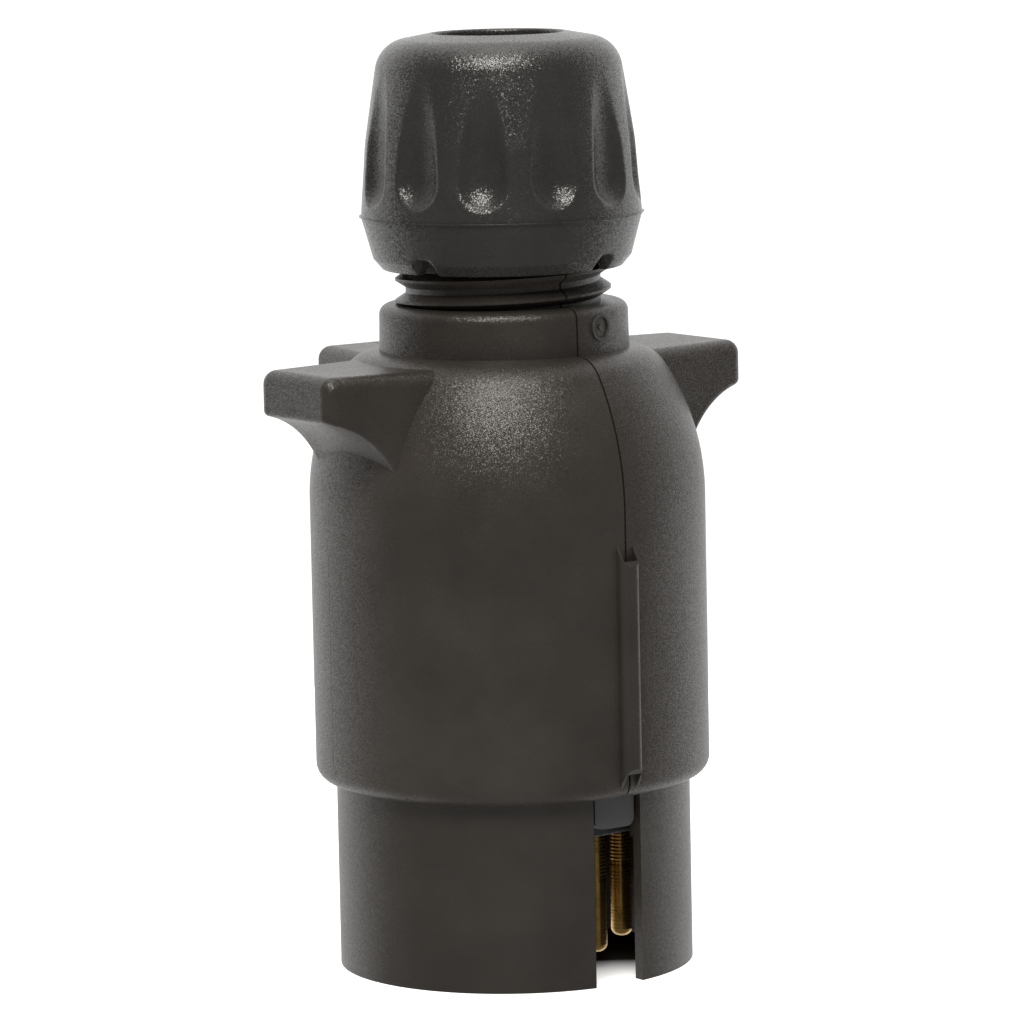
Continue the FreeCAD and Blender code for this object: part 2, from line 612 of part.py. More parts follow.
def film_hinge(doc):
    """The folded film that joins the halves: a hollow U in plan, with slanted open ends."""
    body = new_body(doc, "film_hinge")
    outer = outline(body, "hinge_plan", "XY_Plane",
                    [("-hinge_half", "-hinge_reach"), ("hinge_half", "-hinge_reach"),
                     ("hinge_half", "-hinge_root"), ("-hinge_half", "-hinge_root")])
    bind(outer, "AttachmentOffset.Base.z", "hinge_low")
    block = extrude(body, outer, "Pad", "hinge_high - hinge_low")
    nose = size("hinge_half")
    reach = size("hinge_reach")
    rounded = round_edges(body, block, lambda edge: abs(edge.CenterOfMass.y + reach) < 0.01
                          and abs(abs(edge.CenterOfMass.x) - nose) < 0.01, "hinge_nose_round")
    inner = outline(body, "hinge_hollow", "XY_Plane",
                    [("-hinge_half + hinge_film", "-hinge_reach + hinge_film"),
                     ("hinge_half - hinge_film", "-hinge_reach + hinge_film"),
                     ("hinge_half - hinge_film", "-hinge_root + 1"),
                     ("-hinge_half + hinge_film", "-hinge_root + 1")])
    bind(inner, "AttachmentOffset.Base.z", "hinge_low")
    hollow = extrude(body, inner, "Pocket", "hinge_high - hinge_low", reverse=True)
    seat = disc(body, "hinge_seat", "XY_Plane", "0", "0", "body_radius")
    seated = extrude(body, seat, "Pocket", "2 * hinge_high", both_ways=True)
    last = seated
    for end, level, way in (("low", "hinge_low", "+"), ("high", "hinge_high", "-")):
        slope = outline(body, f"hinge_{end}_cut", "YZ_Plane",
                        [("-hinge_root", level), ("-hinge_cut_reach", level),
                         ("-hinge_cut_reach", f"{level} {way} hinge_slant")])
        last = extrude(body, slope, "Pocket", "4 * hinge_half", both_ways=True)
    doc.recompute()
    if not (last.Shape.Volume < hollow.Shape.Volume < rounded.Shape.Volume):
        raise RuntimeError("a cut in the film hinge removed nothing")
    return [body]


# ---------------------------------------------------------------- skirt and lock tongue

def bayonet_groove(doc, number, degrees):
    """One L-shaped groove inside the skirt: a way in from the edge, then a run to the side."""
    entry = box(doc, f"bayonet_entry_{number}", ("0", "-bayonet_width / 2", "-1"),
                ("skirt_inside + bayonet_depth", "bayonet_width", "bayonet_high + 1"))
    run = doc.addObject("Part::Cylinder", f"bayonet_run_{number}")
    bind(run, "Radius", "skirt_inside + bayonet_depth")
    bind(run, "Height", "bayonet_high - bayonet_low")
    bind(run, "Angle", "bayonet_angle")
    bind(run, "Placement.Base.z", "bayonet_low")
    groove = merge(doc, f"bayonet_groove_{number}", [entry, run])
    groove.Placement = turned(degrees)
    return groove


def locking_skirt(doc):
    """The skirt that the socket goes into, with key slot, tongue window and bayonet grooves."""
    body = new_body(doc, "skirt_tube")
    corners = [("skirt_inside", "0"), ("skirt_radius", "0"), ("skirt_radius", "skirt_plain_top"),
               ("skirt_neck_radius", "skirt_plain_top"),
               ("skirt_neck_radius", "skirt_rib_bottom"), ("skirt_rib_radius", "skirt_rib_bottom"),
               ("skirt_rib_radius", "skirt_rib_bottom + skirt_rib_height"),
               ("skirt_neck_radius", "skirt_rib_bottom + skirt_rib_height"),
               ("skirt_neck_radius", "skirt_top"), ("skirt_inside", "skirt_top"),
               ("skirt_inside", "seal_ledge_bottom + seal_ledge_height"),
               ("seal_ledge_radius", "seal_ledge_bottom + seal_ledge_height"),
               ("seal_ledge_radius", "seal_ledge_bottom"), ("skirt_inside", "seal_ledge_bottom")]
    tube = revolve(body, outline(body, "skirt_profile", "XZ_Plane", corners))
    opening = outline(body, "slot_outline", "XZ_Plane",
                      [("-slot_half", "-2"), ("slot_half", "-2"), ("slot_half", "slot_top"),
                       ("window_half", "slot_top"), ("window_half", "window_top"),
                       ("-window_half", "window_top"), ("-window_half", "slot_top"),
                       ("-slot_half", "slot_top")])
    slot = extrude(body, opening, "Pocket", "2 * skirt_radius", reverse=True)
    thinned = outline(body, "relief_outline", "XZ_Plane",
                      [("-relief_half", "-2"), ("relief_half", "-2"), ("relief_half", "relief_top"),
                       ("-relief_half", "relief_top")])
    relief = extrude(body, thinned, "Pocket", "relief_reach", reverse=True)
    doc.recompute()
    if slot.Shape.isInside(FreeCAD.Vector(0, -size("skirt_radius") + 1, 10), 0.01, True):
        raise RuntimeError("the key slot is on the wrong side")
    if not relief.Shape.Volume < slot.Shape.Volume < tube.Shape.Volume:
        raise RuntimeError("the key slot or the thinning beside it removed nothing")
    grooves = merge(doc, "bayonet_grooves", [bayonet_groove(doc, number, degrees) for number, degrees
                                             in enumerate(BAYONET_DIRECTIONS, start=1)])
    return [combine(doc, "Cut", "locking_skirt", body, grooves)]


def ring_block(name, doc, inside, outside, low, high, soften=None):
    """A plain turned ring between two radii and two heights."""
    body = new_body(doc, name)
    corners = [(inside, low), (outside, low), (outside, high), (inside, high)]
    solid = revolve(body, outline(body, name + "_profile", "XZ_Plane", corners))
    if soften:
        doc.recompute()
        round_edges(body, solid, lambda edge: isinstance(edge.Curve, Part.Circle), soften)
    return body


def lock_tongue(doc):
    """The sprung key tongue: a curved strip with a wide head behind the body's rim."""
    body = new_body(doc, "lock_tongue_block")
    corners = [("-tongue_half", "tongue_bottom"), ("tongue_half", "tongue_bottom"),
               ("tongue_half", "slot_top"), ("tongue_head_half", "slot_top"),
               ("tongue_head_half", "tongue_head_top"), ("-tongue_head_half", "tongue_head_top"),
               ("-tongue_head_half", "slot_top"), ("-tongue_half", "slot_top")]
    front = extrude(body, outline(body, "tongue_outline", "XZ_Plane", corners), "Pad",
                    "skirt_radius + 2")
    half, low = size("tongue_half"), size("tongue_bottom")
    round_edges(body, front, lambda edge: abs(abs(edge.CenterOfMass.x) - half) < 0.01
                and abs(edge.CenterOfMass.z - low) < 0.01, "tongue_corner")
    sleeve = ring_block("tongue_sleeve", doc, "tongue_inside", "tongue_outside",
                        "tongue_bottom - 1", "tongue_head_top + 1")
    return [combine(doc, "Common", "lock_tongue", body, sleeve)]


def tongue_spring(doc):
    """A small compression spring between the tongue's head and the top of its window."""
    low = size("tongue_head_top") + size("spring_wire") / 2 + 0.02
    high = size("window_top") - size("spring_wire") / 2 - 0.02
    rise = (high - low) / size("spring_turns")
    helix = Part.makeHelix(rise, high - low, size("spring_coil"))
    start = FreeCAD.Vector(size("spring_coil"), 0, 0)
    wire_end = Part.Wire(Part.makeCircle(size("spring_wire") / 2, start, FreeCAD.Vector(0, 1, 0)))
    coil = Part.Wire(helix).makePipeShell([wire_end], True, True)
    spring = doc.addObject("Part::Feature", "tongue_spring")
    spring.Label = "tongue_spring"
    spring.Shape = coil
    spring.Placement = turned(0, 0, -size("spring_reach"), low)
    return [spring]


# ---------------------------------------------------------------- contact carrier

def pin_places():
    """Index, x, y and terminal level of each of the thirteen pins."""
    places = []
    for index in range(8):
        places.append((*polar(size("outer_ring"), size("ring_turn") + 45 * index), 0))
    for index in range(4):
        places.append((*polar(size("inner_ring"), size("ring_turn") + 22.5 + 90 * index), 1))
    places.append((0.0, 0.0, 2))
    return places


def plate_screw_places():
    """Three retainer screws in gaps between the rings of pins."""
    return [polar(size("plate_screw_ring"), size("ring_turn") - 22.5 + 45 * gap) for gap in (0, 3, 6)]


def drill(doc, name, base, holes):
    """Cut a group of round holes, each (x, y, radius, low, high), out of a part."""
    drills = doc.addObject("Part::Feature", name + "_drills")
    drills.Shape = Part.makeCompound([Part.makeCylinder(radius, high - low, FreeCAD.Vector(x, y, low))
                                      for x, y, radius, low, high in holes])
    return combine(doc, "Cut", name, base, drills)


def contact_carrier(doc):
    """The insulator that holds the pins, with a flange that turns on the skirt's top edge."""
    body = new_body(doc, "carrier_blank")
    corners = [("0", "carrier_face"), ("carrier_radius", "carrier_face"),
               ("carrier_radius", "carrier_flange_bottom"),
               ("carrier_flange", "carrier_flange_bottom"), ("carrier_flange", "carrier_top"),
               ("0", "carrier_top")]
    solid = revolve(body, outline(body, "carrier_profile", "XZ_Plane", corners))
    doc.recompute()
    round_edges(body, solid, ring_at(size("carrier_radius"), size("carrier_face")),
                "carrier_edge_round")
    play = size("pin_play")
    low, top = size("carrier_face") - 1, size("carrier_top")
    holes = []
    for x, y, _ in pin_places():
        holes.append((x, y, size("pin_radius") + play, low, top + 1))
        holes.append((x, y, size("pin_collar_radius") + play, top - size("pin_collar_height"), top + 1))
    for x, y in plate_screw_places():
        holes.append((x, y, size("plate_screw_shank"), top - size("plate_screw_hole"), top + 1))
    return [drill(doc, "contact_carrier", body, holes)]


def pin_retainer(doc):
    """The plate that clamps the pins' collars down onto the carrier."""
    body = ring_block("retainer_blank", doc, "0", "plate_radius", "carrier_top + plate_gap",
                      "carrier_top + plate_gap + plate_height")
    top = size("carrier_top")
    high = top + size("plate_height") + 1
    holes = [(x, y, size("pin_radius") + size("pin_play"), top - 1, high) for x, y, _ in pin_places()]
    loose = size("plate_screw_shank") + size("plate_screw_play")
    holes += [(x, y, loose, top - 1, high) for x, y in plate_screw_places()]
    return [drill(doc, "pin_retainer", body, holes)]


def retainer_screws(doc):
    """Three small screws that hold the retainer plate."""
    group = doc.addObject("Part::Feature", "retainer_screws")
    group.Label = "retainer_screws"
    plate_top = size("carrier_top") + size("plate_height") + size("plate_gap")
    foot = plate_top - size("plate_height") - size("plate_screw_depth")
    head_height = size("plate_screw_height")
    head_top = plate_top + head_height
    reach = size("plate_screw_head") + 1
    half = size("plate_screw_slot_width") / 2
    screws = []
    for x, y in plate_screw_places():
        shank = Part.makeCylinder(size("plate_screw_shank"), plate_top - foot,
                                  FreeCAD.Vector(x, y, foot))
        head = Part.makeCylinder(size("plate_screw_head"), head_height,
                                 FreeCAD.Vector(x, y, plate_top))
        slot = block(FreeCAD.Vector(x - reach, y - half, head_top - size("plate_screw_slot_depth")),
                     FreeCAD.Vector(x + reach, y + half, head_top + 1))
        screws.append(shank.fuse(head).cut(slot).removeSplitter())
    group.Shape = Part.makeCompound(screws)
    return [group]


def terminal_foot(level):
    """Height where a terminal starts, for the outer, inner and centre pins."""
    lowest = size("carrier_top") + size("plate_height") + size("terminal_gap")
    return lowest + level * size("terminal_step")


def screw_level(level):
    """Height of a terminal's clamping screw."""
    return terminal_foot(level) + size("screw_share") * size("terminal_height")


def contact_pin(doc, number, x, y, level):
    """One turned brass contact: rounded tip, ringed shank, collar and screw terminal."""
    body = new_body(doc, f"pin_blank_{number:02d}")
    foot = f"carrier_top + plate_height + terminal_gap + {level} * terminal_step"
    corners = [("0", "pin_tip"), ("pin_radius", "pin_tip"),
               ("pin_radius", "pin_groove_height - pin_groove_half"),
               ("pin_radius - pin_ring_groove", "pin_groove_height - pin_groove_half"),
               ("pin_radius - pin_ring_groove", "pin_groove_height + pin_groove_half"),
               ("pin_radius", "pin_groove_height + pin_groove_half"),
               ("pin_radius", "carrier_top - pin_collar_height"),
               ("pin_collar_radius", "carrier_top - pin_collar_height"),
               ("pin_collar_radius", "carrier_top"), ("pin_radius", "carrier_top"),
               ("pin_radius", foot), ("terminal_radius", foot),
               ("terminal_radius", foot + " + terminal_height"),
               ("wire_hole", foot + " + terminal_height"),
               ("wire_hole", foot + " + wire_hole_floor"), ("0", foot + " + wire_hole_floor")]
    solid = revolve(body, outline(body, f"pin_profile_{number:02d}", "XZ_Plane", corners))
    round_edges(body, solid, ring_at(size("pin_radius"), size("pin_tip")), "pin_radius * 0.75")
    body.Placement = turned(0, x, y, 0)
    side = doc.addObject("Part::Cylinder", f"screw_hole_{number:02d}")
    bind(side, "Radius", "screw_radius")
    bind(side, "Height", "terminal_radius + 1")
    side.Placement = screw_placement(x, y, level)
    return combine(doc, "Cut", f"contact_pin_{number:02d}", body, side)


def screw_placement(x, y, level):
    """On the pin's axis at the screw's height, pointing away from the plug's axis."""
    outwards = FreeCAD.Vector(x, y, 0) if math.hypot(x, y) > 0 else FreeCAD.Vector(0, -1, 0)
    return FreeCAD.Placement(FreeCAD.Vector(x, y, screw_level(level)),
                             FreeCAD.Rotation(Z_AXIS, outwards))


def contact_pins(doc):
    return [contact_pin(doc, number, *place) for number, place in enumerate(pin_places(), start=1)]


def terminal_screws(doc):
    """Thirteen grub screws, one in the side of each terminal."""
    group = doc.addObject("Part::Feature", "terminal_screws")
    group.Label = "terminal_screws"
    start = size("screw_inside")
    end = size("terminal_radius") + size("screw_proud")
    radius = size("screw_radius") - size("screw_play")
    half = size("screw_slot_width") / 2
    slot = block(FreeCAD.Vector(-2 * radius, -half, end - size("screw_slot_depth")),
                 FreeCAD.Vector(2 * radius, half, end + 1))
    screws = []
    for x, y, level in pin_places():
        screw = Part.makeCylinder(radius, end - start, Z_AXIS * start).cut(slot)
        screw.Placement = screw_placement(x, y, level)
        screws.append(screw)
    group.Shape = Part.makeCompound(screws)
    return [group]


# ---------------------------------------------------------------- cable gland

def gland_nut(doc):
    """The fluted nut with its internal thread."""
    body = new_body(doc, "nut_blank")
    corners = [("nut_bore", "nut_bottom"), ("nut_foot_radius", "nut_bottom"),
               ("nut_heel_radius", "nut_heel_height"), ("nut_wide_radius", "nut_wide_height"),
               ("nut_waist_radius", "nut_waist_height"), ("nut_crown_radius", "nut_crown_height"),
               ("nut_hole", "nut_top"), ("nut_hole", "nut_throat_top"),
               ("nut_throat", "nut_throat_top"), ("nut_throat", "nut_bore_top"),
               ("nut_bore", "nut_bore_top - nut_bore_cone")]
    solid = revolve(body, outline(body, "nut_profile", "XZ_Plane", corners))
    crown = round_edges(body, solid, ring_at(size("nut_crown_radius"), size("nut_crown_height")),
                        "nut_crown_round")
    lip = round_edges(body, crown, ring_at(size("nut_hole"), size("nut_top")), "nut_lip_round")
    flute_cut = body.newObject("PartDesign::SubtractiveCylinder", "flute_side")
    flute_end = body.newObject("PartDesign::SubtractiveSphere", "flute_end")
    bind(flute_cut, "Radius", "flute_radius")
    bind(flute_cut, "Height", "nut_top - flute_low + 1")
    bind(flute_end, "Radius", "flute_radius")
    for feature in (flute_cut, flute_end):
        for plane in body.Origin.OriginFeatures:
            if plane.Role == "XY_Plane":
                feature.AttachmentSupport = [(plane, "")]
        feature.MapMode = "FlatFace"
        bind(feature, "AttachmentOffset.Base.y", "-flute_floor - flute_radius")
        bind(feature, "AttachmentOffset.Base.z", "flute_low")
    flutes = repeat_round(body, [flute_cut, flute_end], "flute_count")
    doc.recompute()
    if not flutes.Shape.Volume < lip.Shape.Volume:
        raise RuntimeError("the flutes cut nothing")
    notch = outline(body, "notch_outline", "XZ_Plane",
                    [("-notch_foot_half", "nut_bottom - 0.5"), ("notch_foot_half", "nut_bottom - 0.5"),
                     ("notch_top_half", "notch_top"), ("-notch_top_half", "notch_top")])
    notch_cut = extrude(body, notch, "Pocket", "2 * nut_wide_radius", reverse=True)
    repeat_round(body, [notch_cut], "notch_count")
    doc.recompute()
    if not body.Shape.Volume < flutes.Shape.Volume:
        raise RuntimeError("the notches cut nothing")
    body.Placement = turned(size("nut_turn"))
    return [combine(doc, "Fuse", "gland_nut", body, nut_thread(doc))]


def slip_ring(doc):
    return [ring_block("slip_ring", doc, "slip_inside", "slip_outside",
                       "nut_throat_top - slip_play - slip_height", "nut_throat_top - slip_play")]


def gland_seal(doc):
    """The rubber sleeve that the slip ring squeezes onto the cable."""
    return [ring_block("gland_seal", doc, "seal_inside", "seal_outside", "seal_seat_height",
                       "seal_top", soften="seal_round")]


# ---------------------------------------------------------------- the whole plug

def build_all(doc):
    """Every sub-part, in the order that the plug is put together."""
    nodes = []
    nodes += body_shells(doc)
    nodes += film_hinge(doc)
    nodes += locking_skirt(doc)
    nodes += [ring_block("face_seal", doc, "seal_ledge_radius", "face_seal_outside",
                         "face_seal_bottom", "seal_ledge_bottom")]
    nodes += lock_tongue(doc)
    nodes += tongue_spring(doc)
    nodes += [ring_block("retaining_ring", doc, "ring_inside", "skirt_neck_radius", "ring_bottom",
                         "ring_bottom + ring_height")]
    nodes += contact_carrier(doc)
    nodes += pin_retainer(doc)
    nodes += retainer_screws(doc)
    nodes += contact_pins(doc)
    nodes += terminal_screws(doc)
    nodes += gland_seal(doc)
    nodes += slip_ring(doc)
    nodes += gland_nut(doc)
    return nodes


def check(doc, nodes):
    """Stop on any failed object or bad shape."""
    doc.recompute()
    for thing in doc.Objects:
        if "Invalid" in thing.State or "Error" in thing.State:
            raise RuntimeError(f"{thing.Label} failed: {thing.State}")
    for node in nodes:
        if node.Shape.isNull() or not node.Shape.isValid():
            raise RuntimeError(f"{node.Label} has no valid shape")


def write(nodes):
    os.makedirs("parts", exist_ok=True)
    for node in nodes:
        node.Shape.exportStep(f"parts/{node.Label}.step")
        print(f"{node.Label}: {len(node.Shape.Solids)} solid(s), {node.Shape.Volume:.1f} mm3")


def main():
    doc = FreeCAD.newDocument("trailer_plug")
    make_sheet(doc)
    nodes = build_all(doc)
    check(doc, nodes)
    write(nodes)


main()
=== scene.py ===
"""Looks of the thirteen-pin trailer wiring plug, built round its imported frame. Metres, row frame:
+Z towards the cable end, key slot, body seam and film hinge at -Y."""
import json
import math
import bmesh
import bpy
from mathutils import Matrix, Vector, noise


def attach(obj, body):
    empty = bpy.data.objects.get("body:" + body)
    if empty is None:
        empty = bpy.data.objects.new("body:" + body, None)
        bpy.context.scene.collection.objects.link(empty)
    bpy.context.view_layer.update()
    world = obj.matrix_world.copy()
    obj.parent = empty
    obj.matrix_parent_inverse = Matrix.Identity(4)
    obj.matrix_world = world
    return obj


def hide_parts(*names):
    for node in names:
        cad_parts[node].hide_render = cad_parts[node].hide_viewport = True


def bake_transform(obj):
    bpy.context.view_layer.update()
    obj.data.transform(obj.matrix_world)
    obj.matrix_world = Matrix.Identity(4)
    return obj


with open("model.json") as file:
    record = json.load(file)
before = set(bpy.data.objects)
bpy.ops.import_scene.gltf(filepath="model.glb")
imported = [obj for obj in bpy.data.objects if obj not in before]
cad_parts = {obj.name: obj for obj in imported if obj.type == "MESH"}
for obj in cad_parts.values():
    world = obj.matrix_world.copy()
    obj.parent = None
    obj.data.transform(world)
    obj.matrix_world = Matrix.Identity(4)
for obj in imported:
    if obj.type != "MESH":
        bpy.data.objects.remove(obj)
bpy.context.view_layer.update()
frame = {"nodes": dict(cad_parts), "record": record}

MM = 0.001
nodes = frame["nodes"]


# ---------------------------------------------------------------- camera and light

CAMERA_DISTANCE = 0.66587
CAMERA_HEIGHT = 0.1426
CAMERA_AZIMUTH = math.radians(-35.2)
CAMERA_PITCH = math.radians(7.664)
CAMERA_ROLL = math.radians(-1.193)
CAMERA_LENS = 203.05
CAMERA_SHIFT = (0.0042, -0.0028)

LAMP_COLOUR = (1.0, 0.975, 0.92)
OVERHEAD_HEIGHT = 0.8
OVERHEAD_SIZE = 0.5
OVERHEAD_POWER = 1.6
SOFTBOX_AZIMUTH = CAMERA_AZIMUTH - 0.12
SOFTBOX_DISTANCE = 0.58
SOFTBOX_HEIGHT = 0.77
SOFTBOX_TARGET = (0, 0, 0.07)
SOFTBOX_WIDTH, SOFTBOX_DEPTH = 0.40, 0.31
SOFTBOX_POWER = 7.0

FLOOR_RADIUS = 0.2
FLOOR_SIDES = 64
FLOOR_DROP = 0.00002
FLOOR_WHITE = (0.93, 0.93, 0.925)
# Painted light on the table: painted shade inside the skirt, a painted pool of light by the key
# slot, and a glow scaled by both.
FLOOR_PAINTED_SHADE = (0.01, 0.01, 0.01)
FLOOR_GLOW = 0.75
SKIRT_EDGE = (0.0198, 0.0208)
SLOT_MOUTH = (0, -0.0215, 0)
SLOT_PAINTED_LIGHT = (0.004, 0.0145)


def make_camera():
    data = bpy.data.cameras.new("camera")
    data.lens = CAMERA_LENS
    data.shift_x, data.shift_y = CAMERA_SHIFT
    data.clip_start = 0.01
    data.clip_end = 20.0
    camera = bpy.data.objects.new("camera", data)
    place = Vector((math.sin(CAMERA_AZIMUTH), -math.cos(CAMERA_AZIMUTH), 0)) * CAMERA_DISTANCE
    place.z = CAMERA_HEIGHT
    turn = (Matrix.Rotation(CAMERA_AZIMUTH, 4, "Z")
            @ Matrix.Rotation(math.pi / 2 - CAMERA_PITCH, 4, "X")
            @ Matrix.Rotation(CAMERA_ROLL, 4, "Z"))
    camera.matrix_world = Matrix.Translation(place) @ turn
    bpy.context.scene.collection.objects.link(camera)
    bpy.context.scene.camera = camera


def area_light(name, place, target, width, depth, power):
    """A soft rectangular lamp that faces a point."""
    data = bpy.data.lights.new(name, "AREA")
    data.shape = "RECTANGLE"
    data.size, data.size_y = width, depth
    data.energy = power
    data.color = LAMP_COLOUR
    lamp = bpy.data.objects.new(name, data)
    direction = Vector(target) - Vector(place)
    facing = direction.to_track_quat("-Z", "Y").to_matrix().to_4x4()
    lamp.matrix_world = Matrix.Translation(place) @ facing
    bpy.context.scene.collection.objects.link(lamp)
    return lamp


def round_the_plug(azimuth, distance, height):
    """A place at an azimuth counted like the camera's, at a distance from the plug's axis."""
    return (math.sin(azimuth) * distance, -math.cos(azimuth) * distance, height)


def make_world():
    """White all round, dimmer towards the front, where a dark room stands behind the lamps."""
    world = bpy.data.worlds.new("studio")
    bpy.context.scene.world = world
    world.use_nodes = True
    tree = world.node_tree
    tree.nodes.clear()
    add = Builder(tree)
    direction = add("ShaderNodeTexCoord").outputs["Generated"]
    front = Vector((math.sin(CAMERA_AZIMUTH), -math.cos(CAMERA_AZIMUTH), 0.0))
    facing = add("ShaderNodeVectorMath", operation="DOT_PRODUCT")
    add.link(direction, facing.inputs[0])
    facing.inputs[1].default_value = front
    ramp = add("ShaderNodeMapRange", interpolation_type="SMOOTHSTEP")
    add.link(facing.outputs["Value"], ramp.inputs["Value"])
    for name, value in (("From Min", -0.6), ("From Max", 0.12), ("To Min", 1.12),
                        ("To Max", 0.155)):
        ramp.inputs[name].default_value = value
    seen = add("ShaderNodeLightPath").outputs["Is Camera Ray"]
    strength = add("ShaderNodeMix", data_type="FLOAT")
    add.link(seen, strength.inputs[0])
    add.link(ramp.outputs["Result"], strength.inputs[2])
    strength.inputs[3].default_value = 1.2
    back = add("ShaderNodeBackground")
    back.inputs["Color"].default_value = (1.0, 1.0, 0.995, 1)
    add.link(strength.outputs[0], back.inputs["Strength"])
    out = add("ShaderNodeOutputWorld")
    add.link(back.outputs[0], out.inputs[0])


def make_floor():
    """A white table that glows, with painted shade inside the skirt and a painted pool of light by
    the key slot. It isn't mirrored in the plug, whose front reflects the dark room.
    """
    mesh = bpy.data.meshes.new("floor")
    turns = [2 * math.pi * index / FLOOR_SIDES for index in range(FLOOR_SIDES)]
    rim = [(FLOOR_RADIUS * math.cos(turn), FLOOR_RADIUS * math.sin(turn), 0) for turn in turns]
    mesh.from_pydata(rim, [], [tuple(range(FLOOR_SIDES))])
    floor = bpy.data.objects.new("floor", mesh)
    bpy.context.scene.collection.objects.link(floor)
    floor.location.z = -FLOOR_DROP
    floor.visible_glossy = False
    material, tree, add = new_material("floor_painted_shade")
    shader = add("ShaderNodeBsdfPrincipled")
    shader.inputs["Roughness"].default_value = 0.7
    # The table glows as if lit through from below. Inside the skirt it is painted dark as shade,
    # and only the part by the key slot is bright, as a painted pool of light.
    where = add("ShaderNodeTexCoord").outputs["Object"]
    outside = remap(add, distance(add, where, (0, 0, 0)), *SKIRT_EDGE, 0.0, 1.0)
    painted_slot_light = remap(add, distance(add, where, SLOT_MOUTH), *SLOT_PAINTED_LIGHT, 1.0, 0.0)
    shade = arithmetic(add, "MAXIMUM", outside, painted_slot_light)
    add.link(blend_colour(add, shade, FLOOR_PAINTED_SHADE, FLOOR_WHITE), shader.inputs["Base Color"])
    shader.inputs["Emission Color"].default_value = (1.0, 1.0, 0.99, 1)
    add.link(arithmetic(add, "MULTIPLY", shade, FLOOR_GLOW), shader.inputs["Emission Strength"])
    out = add("ShaderNodeOutputMaterial")
    add.link(shader.outputs[0], out.inputs[0])
    mesh.materials.append(material)


# ---------------------------------------------------------------- materials

class Builder:
    """Makes and joins nodes in one node tree."""

    def __init__(self, tree):
        self.tree = tree

    def __call__(self, kind, **settings):
        node = self.tree.nodes.new(kind)
        for name, value in settings.items():
            setattr(node, name, value)
        return node

    def link(self, source, target):
        self.tree.links.new(source, target)


def new_material(name):
    material = bpy.data.materials.new(name)
    material.use_nodes = True
    tree = material.node_tree
    tree.nodes.clear()
    return material, tree, Builder(tree)


def noise_value(add, where, scale, detail=2.0, roughness=0.5, stretch=None):
    """Noise between 0 and 1 in the row frame; scale is in ripples per metre."""
    if stretch:
        mapping = add("ShaderNodeMapping")
        mapping.inputs["Scale"].default_value = stretch
        add.link(where, mapping.inputs["Vector"])
        where = mapping.outputs["Vector"]
    node = add("ShaderNodeTexNoise")
    add.link(where, node.inputs["Vector"])
    node.inputs["Scale"].default_value = scale
    node.inputs["Detail"].default_value = detail
    node.inputs["Roughness"].default_value = roughness
    return node.outputs["Fac"]


def remap(add, value, low, high, out_low, out_high):
    node = add("ShaderNodeMapRange")
    add.link(value, node.inputs["Value"])
    for name, number in (("From Min", low), ("From Max", high), ("To Min", out_low),
                         ("To Max", out_high)):
        node.inputs[name].default_value = number
    return node.outputs["Result"]


def blend_colour(add, share, first, second):
    """A mix of two colours, or of a colour and an earlier result."""
    node = add("ShaderNodeMix", data_type="RGBA")
    add.link(share, node.inputs[0])
    for value, socket in ((first, node.inputs[6]), (second, node.inputs[7])):
        if isinstance(value, tuple):
            socket.default_value = (*value, 1)
        else:
            add.link(value, socket)
    return node.outputs[2]


def arithmetic(add, operation, first, second):
    node = add("ShaderNodeMath", operation=operation)
    for value, socket in ((first, node.inputs[0]), (second, node.inputs[1])):
        if isinstance(value, (int, float)):
            socket.default_value = value
        else:
            add.link(value, socket)
    return node.outputs[0]


def distance(add, where, centre):
    """How far each place is from a centre."""
    away = add("ShaderNodeVectorMath", operation="DISTANCE")
    add.link(where, away.inputs[0])
    away.inputs[1].default_value = centre
    return away.outputs["Value"]


def witness_line(add, where, azimuth, low, high):
    """1 on a thin upright mould line at an azimuth counted like the camera's."""
    across = add("ShaderNodeVectorMath", operation="DOT_PRODUCT")
    add.link(where, across.inputs[0])
    across.inputs[1].default_value = (math.cos(azimuth), math.sin(azimuth), 0)
    outward = add("ShaderNodeVectorMath", operation="DOT_PRODUCT")
    add.link(where, outward.inputs[0])
    outward.inputs[1].default_value = (math.sin(azimuth), -math.cos(azimuth), 0)
    split = add("ShaderNodeSeparateXYZ")
    add.link(where, split.inputs[0])
    sideways = arithmetic(add, "ABSOLUTE", across.outputs["Value"], 0.0)
    mask = remap(add, sideways, 0.00005, 0.00011, 1.0, 0.0)
    for value, start, end, first, last in ((outward.outputs["Value"], 0.01, 0.012, 0.0, 1.0),
                                           (split.outputs["Z"], low, low + 0.001, 0.0, 1.0),
                                           (split.outputs["Z"], high - 0.004, high, 1.0, 0.0)):
        mask = arithmetic(add, "MULTIPLY", mask, remap(add, value, start, end, first, last))
    return mask


def spot_mask(add, where, centre, radius):
    """1 at a place on the plug, falling to 0 at a radius, broken up by noise."""
    near = remap(add, distance(add, where, centre), radius * 0.3, radius, 1.0, 0.0)
    rough = remap(add, noise_value(add, where, 3500, 3.0, 0.7), 0.46, 0.56, 0.0, 1.0)
    return arithmetic(add, "MULTIPLY", near, rough)


